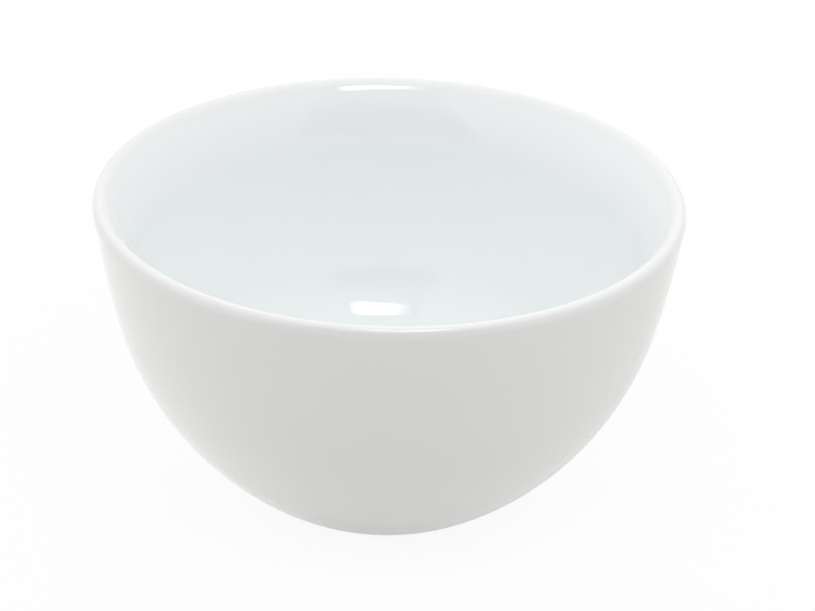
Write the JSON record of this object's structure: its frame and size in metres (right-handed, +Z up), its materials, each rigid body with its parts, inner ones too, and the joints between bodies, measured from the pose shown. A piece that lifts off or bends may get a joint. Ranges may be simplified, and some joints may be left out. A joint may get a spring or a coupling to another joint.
{
  "type": "latte bowl",
  "caption": "Round white porcelain bowl without a handle: steep wall, full belly, rounded lip and a recessed standing ring, for milky coffee.",
  "frame": {"origin": "centre of the standing ring's face, on the surface that the bowl stands on", "axes": "+Z up along the bowl's axis and out of its mouth; the bowl is the same all round"},
  "size_m": [0.146, 0.146, 0.0795],
  "materials": {
    "bare_porcelain": "bare fired clay, fine and matte",
    "white_glaze": "glossy white glaze"
  },
  "bodies": {
    "root": {"porcelain_body": "bare_porcelain", "glaze_coat": "white_glaze", "foot_well_glaze": "white_glaze"}
  },
  "joints": []
}
